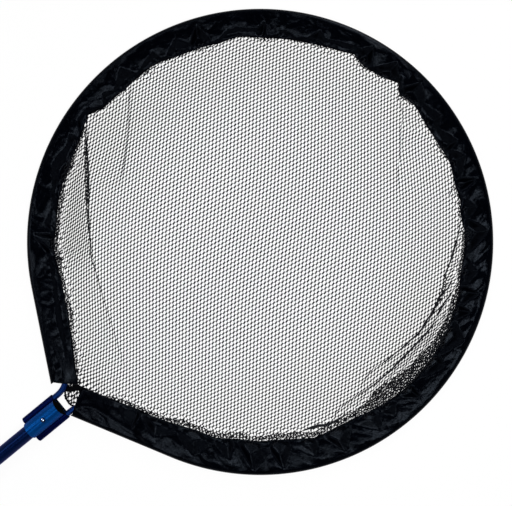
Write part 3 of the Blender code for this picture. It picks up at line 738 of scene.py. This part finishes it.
# yarn pinched close along the sharpest creases: mm right, mm up, mm of half width
pinched = {
    "tall": 0.0006,
    "near": 0.004,  # it lies on the highest yarn this near
    "proud": 0.0002,
    "wider": 1.6,
    "lines": [
        [(-231, 145, 0.4), (-227, 120, 0.5), (-225, 80, 0.5), (-225, 35, 0.45), (-223.5, 2, 0.45),
         (-222, -21, 0.35), (-216.5, -38, 0.3), (-207, -70, 0.2)],
        [(264, 26, 0.3), (261.5, 14, 0.45), (259.5, 6, 0.5), (257, -2, 0.55), (254, -11.5, 0.65),
         (251.5, -21.5, 0.7), (248.5, -30, 0.6), (244, -40, 0.45), (240.5, -49.5, 0.3)],
        [(255.5, 74, 0.25), (252, 67, 0.4), (248, 59, 0.25)],
        [(253.5, -50, 0.6), (246.5, -61, 0.8), (239, -68, 0.8), (234, -77, 0.75),
         (228.5, -87.5, 0.8), (223.5, -97, 0.7), (218, -104.5, 0.8), (209.5, -118.5, 0.7),
         (197, -129.5, 0.65), (186, -140, 0.6), (178.5, -145.5, 0.5), (169, -153, 0.4),
         (158, -161.5, 0.3), (150, -169, 0.25)],
        [(252.5, -65.5, 0.6), (248, -72, 0.7), (242.5, -78.5, 0.6), (238.5, -85, 0.6),
         (231.5, -95.5, 0.4)],
        [(231.5, -103.5, 0.4), (222, -115, 0.7), (216.5, -121.5, 0.75), (209.5, -128.5, 0.8),
         (194.5, -144.5, 0.75), (180, -158.5, 0.7), (173, -167, 0.65), (163.5, -175.5, 0.6),
         (154, -184, 0.55), (146.5, -189.5, 0.45), (139, -195, 0.35), (127.5, -202, 0.25)],
        [(54.5, -248.5, 0.5), (66, -245, 1.0), (77, -242, 1.2), (90.5, -239.5, 1.1),
         (107, -230.5, 0.8), (116.5, -225, 0.5)],
    ],
}
netHalves, holes = knit()
yarnPoints = np.concatenate([points for points, faces in netHalves])
pinches = []
for line in pinched["lines"]:
    points = []
    for a, b, wide in smoothLine(np.array(line) / 1000):
        x, y = lie(a, b)
        around = np.hypot(yarnPoints[:, 0] - x, yarnPoints[:, 1] - y) < pinched["near"]
        points.append((x, y, yarnPoints[around, 2].max() + pinched["proud"], pinched["wider"] * wide))
    pinches.append(bead(points, pinched["tall"], sides=6))
netHalves[1] = joined([netHalves[1]] + pinches)
# one cloth, in two meshes of a handy size
for name, (points, faces) in zip(("net_upper", "net_lower"), netHalves):
    piece = newPiece(name, points, faces, "head", "black_yarn")
    piece.data.materials.append(yarn)
    piece.data.shade_smooth()
    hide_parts("net_mesh")
    print(name, "knitted:", sum(len(face) - 2 for face in faces), "triangles")
print(holes, "holes in all")


# collar
def outerReach(angle):
    bend = np.maximum(0, collar["straight"] - np.abs((angle + math.pi) % math.tau - math.pi))
    return collar["outer"] / np.cos(bend)


def polar(reach, angle, z):
    height = np.broadcast_to(z, reach.shape)
    return np.stack([hoopX - reach * np.cos(angle), reach * np.sin(angle), height], axis=-1)


hoopTree = BVHTree.FromObject(nodes["hoop"], bpy.context.evaluated_depsgraph_get())


def rodCover(point):  # least height of cloth that lies over the rod
    level = Vector((point[0], point[1], collar["rodHeight"]))
    surface, normal, face, gap = hoopTree.find_nearest(level)
    off = collar["rod"] + (gap if (level - surface).dot(normal) > 0 else -gap)
    down = math.hypot(off, collar["rounded"]) - collar["rounded"]
    return collar["rodHeight"] + collar["skin"] + collar["clear"] - collar["fall"] * down


def gridFaces(rows, wide, closed=False):
    faces = []
    for j in range(rows if closed else rows - 1):
        for i in range(wide - 1):
            a, b = j * wide + i, (j + 1) % rows * wide + i
            faces.append((a, a + 1, b + 1, b))
    return faces


def settle(lying, cut, pinned, frames):  # cloth cut to one shape and held in another
    big = collar["simScale"]
    cloth = bpy.data.objects.new("cloth", bpy.data.meshes.new("cloth"))
    cloth.data.from_pydata((lying.reshape(-1, 3) * big).tolist(), [], gridFaces(*lying.shape[:2]))
    scene.collection.objects.link(cloth)
    cloth.vertex_groups.new(name="sewn").add(pinned, 1, "REPLACE")
    cloth.shape_key_add(name="Basis")
    cloth.shape_key_add(name="cut").data.foreach_set("co", (cut * big).ravel())
    sim = cloth.modifiers.new("sim", "CLOTH")
    sim.settings.vertex_group_mass = "sewn"
    sim.settings.rest_shape_key = cloth.data.shape_keys.key_blocks["cut"]
    sim.settings.quality = collar["quality"]
    sim.settings.mass = collar["mass"]
    sim.settings.air_damping = collar["air"]
    sim.settings.tension_stiffness = sim.settings.compression_stiffness = collar["pull"]
    sim.settings.shear_stiffness = collar["shear"]
    sim.settings.bending_stiffness = collar["bending"]
    sim.settings.effector_weights.gravity = 0
    sim.collision_settings.use_collision = False
    sim.point_cache.frame_end = frames
    for step in range(1, frames + 1):
        scene.frame_set(step)
    settled = np.empty(lying.size)
    cloth.evaluated_get(bpy.context.evaluated_depsgraph_get()).data.vertices.foreach_get("co", settled)
    scene.frame_set(1)
    bpy.data.objects.remove(cloth)
    return settled.reshape(lying.shape) / big


def creases(rim, rodRun, gathers, rows, chance):  # flat by the rod, falling to the hem past a zigzag fold
    runs, reaches = [], []
    for start, end in zip(gathers, gathers[1:]):
        tip = chance.uniform(*collar["tips"])
        runs += [rodRun[start], rodRun[start] + tip * (rodRun[end] - rodRun[start])]
        nearHem, farHem, nearRod, farRod = collar["fold"][int(rim[start] > math.pi)]
        reaches += [chance.uniform(nearRod, farRod), chance.uniform(nearHem, farHem)]
    fold = np.interp(rodRun, runs, reaches)
    s = np.linspace(0, 1, rows)[:, None]
    flat = collar["tilt"] * (1 - s) ** collar["tiltPower"]
    drop = np.interp(np.degrees(rim), *zip(*collar["drop"])) / 1000
    steep = collar["tilt"] * (1 - fold) ** collar["tiltPower"] + drop * (fold - s)
    fallen = 0.5 * (flat + steep + np.sqrt((flat - steep) ** 2 + collar["soft"] ** 2))
    fromHem, fromRod = collar["fade"]
    middle = np.minimum(1, fromHem * s) * np.minimum(1, fromRod * (1 - s))
    return (collar["tilt"] * 0.5 - fallen) * middle


def crumple(rodRun, across):  # small flat faces with sharp borders
    rows, fade = len(across), collar["crumpleFade"]
    rise = np.zeros((rows, len(rodRun)))
    for j, y in enumerate(across):
        edge = min(1, fade * j / rows, fade * (rows - 1 - j) / rows)
        for i, x in enumerate(rodRun):
            for size, tall in collar["crumples"]:
                right, up = x / size + collar["crumpleSlant"] * y / size, y / size * collar["crumpleLong"]
                near = noise.voronoi((right, up, size * collar["crumpleSlice"]))[0]
                slope = near[1] ** 2 - near[0] ** 2  # straight from each border
                rise[j, i] += tall * edge * (slope - collar["crumpleLevel"])
    return rise


def sleeve():
    along = np.linspace(0, 1, collar["along"] + 1)
    wide = len(along)
    rim = collar["start"] + (collar["end"] - collar["start"]) * along
    hem = collar["startHem"] + (collar["endHem"] - collar["startHem"]) * along
    rodMiddle = outerReach(rim) - collar["skin"] - collar["clear"]
    top = []
    for s in np.linspace(0, 1, collar["across"] + 1):
        rise = math.sin(s * math.pi / 2) ** collar["flat"]
        height = collar["hemHeight"] + (collar["rodHeight"] + collar["skin"] - collar["hemHeight"]) * rise
        top.append(polar(hemReach(hem) * (1 - s) + rodMiddle * s, hem + (rim - hem) * s, height))
    top = np.array(top)
    rodRun = np.concatenate([[0], np.cumsum(np.linalg.norm(np.diff(top[-1], axis=0), axis=1))])
    profile = np.linalg.norm(np.diff(top, axis=0), axis=2).mean(axis=1)
    across = np.concatenate([[0], np.cumsum(profile)]) * collar["ease"]
    cut = np.zeros(top.shape)
    cut[:, :, 0] = rodRun
    cut[:, :, 1] = across[:, None]
    rows = len(top)
    chance = np.random.default_rng(collar["seed"])
    sewn = list(range((rows - 1) * wide, rows * wide))
    step = rodRun[-1] / collar["along"]
    at = 0
    gathers = []
    while at < wide:
        gathers.append(at)
        spacing = np.interp(math.degrees(rim[at]), *zip(*collar["gathers"])) / 1000
        at += int(spacing * chance.uniform(*collar["uneven"]) / step)
    for stitch in gathers + [wide - 1]:
        sewn += list(range(max(0, stitch - 1), min(wide, stitch + 2)))
    between = np.interp(np.arange(wide), gathers, np.arange(len(gathers)))  # counts the gathers
    loose = np.linspace(1, 0, rows)[:, None]
    start = top.copy()
    puffed = 0.5 - 0.5 * np.cos(math.tau * between)
    start[:, :, 2] += collar["puff"] * loose * (1 - loose ** collar["puffPower"]) * puffed
    slant = collar["slant"] * loose
    zigzag = np.sin(math.tau * between + slant) + np.sin(math.pi * between - slant + 1)
    jitter = chance.normal(0, collar["jitter"], top.shape[:2]) * (loose > 0)
    start[:, :, 2] += collar["zigzag"] * zigzag * loose * (1 - loose) * 4 + jitter
    settled = settle(start, cut, sewn, collar["frames"])
    move = settled - top
    far = np.linalg.norm(move, axis=2, keepdims=True)
    settled = top + move * np.minimum(1, collar["most"] / np.maximum(far, tiny))
    held = np.maximum(0, 1 - np.linspace(0, 1, rows) / collar["hemHeld"])[:, None, None]
    settled[:, :, :2] += held * (top - settled)[:, :, :2]
    settled[:, :, 2] += creases(rim, rodRun, gathers, rows, chance) + crumple(rodRun, across)
    for j in range(rows):
        for i in range(wide):
            nearEnd = min(i, wide - i) < wide // collar["ends"]
            least = rodCover(settled[j, i]) if nearEnd else 0
            settled[j, i, 2] = max(settled[j, i, 2], collar["lowest"], least)
    around = []
    for turn in np.linspace(math.pi / 2, -math.pi / 2, collar["around"] + 1)[1:]:
        height = collar["rodHeight"] + collar["skin"] * math.sin(turn)
        around.append(polar(rodMiddle + collar["skin"] * math.cos(turn), rim, height))
    for s in np.linspace(0, 1, collar["under"] + 1)[1:]:
        reach = rodMiddle * (1 - s) + (hemReach(hem) + collar["hemClear"]) * s
        height = (collar["rodHeight"] - collar["skin"]) * (1 - s) + collar["underHem"] * s
        around.append(polar(reach, rim + (hem - rim) * s, height))
    return np.concatenate([settled, np.array(around)])


sleeveRows = sleeve()
sleeveFaces = gridFaces(*sleeveRows.shape[:2], closed=True)
collarPiece = newPiece("collar_sleeve", sleeveRows.reshape(-1, 3), sleeveFaces, "head", "black_nylon")
collarPiece.data.materials.append(nylon)
collarPiece.data.shade_smooth()
girth = np.concatenate([[0], np.cumsum(np.linalg.norm(np.diff(sleeveRows, axis=0), axis=2).mean(axis=1))])
run = np.linspace(0, collar["outer"] * math.tau, sleeveRows.shape[1])
weaveMap = collarPiece.data.uv_layers.new(name="weave")
for loop, corner in zip(collarPiece.data.loops, weaveMap.data):
    j, i = divmod(loop.vertex_index, sleeveRows.shape[1])
    corner.uv = (run[i], girth[j])
thick = collarPiece.modifiers.new("cloth", "SOLIDIFY")
thick.thickness = collar["cloth"]
thick.offset = -1
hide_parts("net_collar")
print("collar sewn")


# throat: the net's tab has a bound edge, and a folded band by the upper end of the collar
binding = {  # towards the handle, sideways, and half width
    "edge": {"height": 0.0016, "tall": 0.0009, "line": [
        (0.3185, 0.0150, 0.0013), (0.3245, 0.0095, 0.0013), (0.3275, 0.0039, 0.0013),
        (0.3292, -0.0028, 0.0013), (0.3280, -0.0092, 0.0013), (0.3236, -0.0136, 0.0013)]},
    "band": {"height": 0.0032, "tall": 0.0012, "line": [
        (0.3218, 0.0134, 0.0032), (0.3153, 0.0088, 0.0040), (0.3081, 0.0051, 0.0032),
        (0.3012, -0.0010, 0.0024)]},
}
strips = []
for strip in binding.values():
    points = [(hoopX - u, v, strip["height"], wide) for u, v, wide in strip["line"]]
    strips.append(bead(points, strip["tall"]))
bindingPiece = newPiece("throat_binding", *joined(strips), "head", "black_yarn")
bindingPiece.data.materials.append(tape)
bindingPiece.data.shade_smooth()
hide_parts("throat_hem")

# drawn ribs along the flanks of the socket
ribs = {"turns": (24, 34, 44), "wide": 0.00035, "radius": 0.0115, "height": 0.0135, "inset": 0.002}
strips = []
for turn in ribs["turns"]:
    for hand in (1, -1):
        y = hand * ribs["radius"] * math.cos(math.radians(turn))
        z = ribs["height"] + ribs["radius"] * math.sin(math.radians(turn))
        along = (bracketLow.x + ribs["inset"], 0, bracketHigh.x - ribs["inset"])
        strips.append(bead([(x, y, z, ribs["wide"]) for x in along], ribs["wide"], sides=6))
ribPiece = newPiece("socket_ribs", *joined(strips), "head", "blue_coat")
ribPiece.data.materials.append(socketBlue)
ribPiece.data.shade_smooth()

# the leaf spring, whose upper leg goes down with the button, is copied in place as a loose piece on no body
leaf = nodes["button_spring"]
points = [leaf.matrix_world @ corner.co for corner in leaf.data.vertices]
faces = [tuple(face.vertices) for face in leaf.data.polygons]
springPiece = newPiece("leaf_spring", points, faces, None, "bright_steel")
springPiece.data.materials.append(brightSteel)
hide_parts("button_spring")
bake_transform(springPiece)
print("throat and bracket ready")
